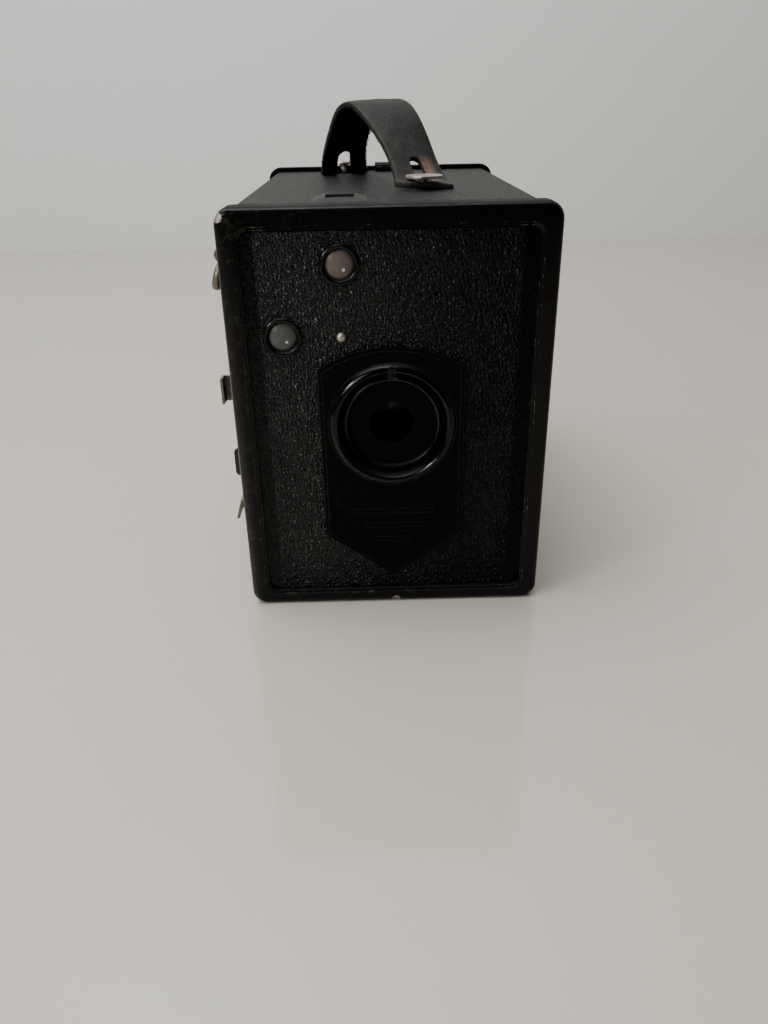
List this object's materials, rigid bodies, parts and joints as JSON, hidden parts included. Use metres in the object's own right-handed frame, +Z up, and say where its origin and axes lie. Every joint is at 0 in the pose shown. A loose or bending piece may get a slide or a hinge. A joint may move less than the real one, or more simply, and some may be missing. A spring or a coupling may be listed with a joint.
{
  "type": "box camera",
  "caption": "Black leatherette box camera for roll film: front lens plate, two finders, winding key, shutter lever, strap, hinged back door and the film carrier inside.",
  "frame": {"origin": "centre of the mouth of the bottom tripod bush, which lies in the plane that the camera rests on", "axes": "+Z up, the lens looks along -Y, +X is to the right seen from the front"},
  "size_m": [0.0906, 0.134, 0.1264],
  "materials": {
    "black_enamel": "gloss enamel, chipped and worn at the edges",
    "plate_enamel": "high gloss enamel",
    "leatherette": "fine pebble grain, worn satin",
    "matte_black": "matt black inside paint",
    "worn_nickel": "worn nickel plate, dull and spotted",
    "plain_steel": "bare steel, satin",
    "blued_steel": "thin blued steel",
    "black_tab": "dark oxide, rubbed",
    "spring_steel": "bright spring wire",
    "portrait_glass": "warm tinted clear glass",
    "landscape_glass": "cool clear glass",
    "window_glass": "clear glass",
    "mirror": "silvered glass",
    "yellow_glass": "yellow filter glass",
    "red_glass": "deep red safelight film",
    "roller_steel": "bright turned steel",
    "spool_metal": "black lacquered spool",
    "strap_leather": "dark worn leather, rough at the edges"
  },
  "bodies": {
    "root": {"front_cover": "black_enamel", "portrait_window_frame": "black_enamel", "landscape_window_frame": "black_enamel", "portrait_lens_rim": "black_enamel", "landscape_lens_rim": "black_enamel", "lens_plate": "plate_enamel", "lens_ring": "plate_enamel", "front_covering": "leatherette", "body_covering": "leatherette", "body_shell": "matte_black", "lens_baffle": "matte_black", "portrait_finder_box": "matte_black", "landscape_finder_box": "matte_black", "shutter_board": "matte_black", "film_carrier": "matte_black", "film_cone": "matte_black", "lens_cell": "matte_black", "front_rivet": "worn_nickel", "key_bush": "worn_nickel", "handle_studs": "worn_nickel", "case_bushes": "worn_nickel", "board_posts": "plain_steel", "board_screws": "plain_steel", "slide_guides": "plain_steel", "selector_guide": "plain_steel", "shutter_pivot": "plain_steel", "lever_pivot": "plain_steel", "lens_retainer": "plain_steel", "spool_pins": "plain_steel", "hinge_leaf": "plain_steel", "hinge_pin": "plain_steel", "lever_spring": "spring_steel", "spool_springs": "spring_steel", "portrait_finder_lens": "portrait_glass", "landscape_finder_lens": "landscape_glass", "portrait_window_glass": "window_glass", "landscape_window_glass": "window_glass", "meniscus_lens": "window_glass", "portrait_mirror": "mirror", "landscape_mirror": "mirror", "handle_strap": "strap_leather"},
    "stop_slide": {"stop_slide": "worn_nickel", "yellow_filter": "yellow_glass"},
    "time_selector": {"time_selector": "black_tab"},
    "release_lever": {"release_lever": "worn_nickel", "drive_spring": "spring_steel"},
    "shutter_disc": {"shutter_disc": "blued_steel"},
    "key_slider": {"key_washer": "worn_nickel"},
    "key_shaft": {"key_shaft": "worn_nickel", "key_pin": "worn_nickel"},
    "key_wing": {"key_wing": "worn_nickel"},
    "takeup_spool": {"takeup_spool": "spool_metal"},
    "supply_spool": {"supply_spool": "spool_metal"},
    "top_roller": {"top_roller": "roller_steel"},
    "bottom_roller": {"bottom_roller": "roller_steel"},
    "back_door": {"back_door": "black_enamel", "back_covering": "leatherette", "red_window": "red_glass", "red_window_ring": "black_enamel"},
    "back_latch": {"back_latch": "worn_nickel"}
  },
  "joints": [
    {"name": "lever_press", "type": "hinge", "parent": "root", "child": "release_lever", "pos_m": [-0.002, -0.011, 0.027], "axis": [0, -1, 0], "range_deg": [0, 14], "deforming": ["lever_spring", "drive_spring"]},
    {"name": "shutter_turn", "type": "hinge", "parent": "root", "child": "shutter_disc", "pos_m": [0.011, -0.0094, 0.064], "axis": [0, -1, 0], "range_deg": [0, 90]},
    {"name": "stop_pull", "type": "slide", "parent": "root", "child": "stop_slide", "axis": [-1, 0, 0], "range_m": [0, 0.026]},
    {"name": "selector_pull", "type": "slide", "parent": "root", "child": "time_selector", "axis": [-1, 0, 0], "range_m": [0, 0.0045]},
    {"name": "key_pull", "type": "slide", "parent": "root", "child": "key_slider", "axis": [-1, 0, 0], "range_m": [0, 0.0066]},
    {"name": "key_turn", "type": "hinge", "parent": "key_slider", "child": "key_shaft", "pos_m": [-0.042, 0.019, 0.0882], "axis": [-1, 0, 0], "continuous": true},
    {"name": "key_fold", "type": "hinge", "parent": "key_shaft", "child": "key_wing", "pos_m": [-0.046, 0.019, 0.0882], "axis": [0, 1, 0], "range_deg": [0, 73]},
    {"name": "takeup_turn", "type": "hinge", "parent": "root", "child": "takeup_spool", "pos_m": [0, 0.019, 0.0882], "axis": [-1, 0, 0], "continuous": true},
    {"name": "supply_turn", "type": "hinge", "parent": "root", "child": "supply_spool", "pos_m": [0, 0.019, 0.0168], "axis": [-1, 0, 0], "continuous": true},
    {"name": "top_roller_turn", "type": "hinge", "parent": "root", "child": "top_roller", "pos_m": [0, 0.0948, 0.0982], "axis": [-1, 0, 0], "continuous": true},
    {"name": "bottom_roller_turn", "type": "hinge", "parent": "root", "child": "bottom_roller", "pos_m": [0, 0.0948, 0.0068], "axis": [-1, 0, 0], "continuous": true},
    {"name": "door_open", "type": "hinge", "parent": "root", "child": "back_door", "pos_m": [0, 0.0989, 0.001], "axis": [-1, 0, 0], "range_deg": [0, 110], "deforming": ["back_latch"]},
    {"name": "latch_lift", "type": "hinge", "parent": "back_door", "child": "back_latch", "pos_m": [0.001, 0.1047, 0.10555], "axis": [-1, 0, 0], "range_deg": [0, 10]}
  ],
  "couplings": [
    {"joint": "key_turn", "follows": "takeup_turn", "ratio": 1},
    {"joint": "shutter_turn", "follows": "lever_press", "ratio": 6.4286}
  ]
}
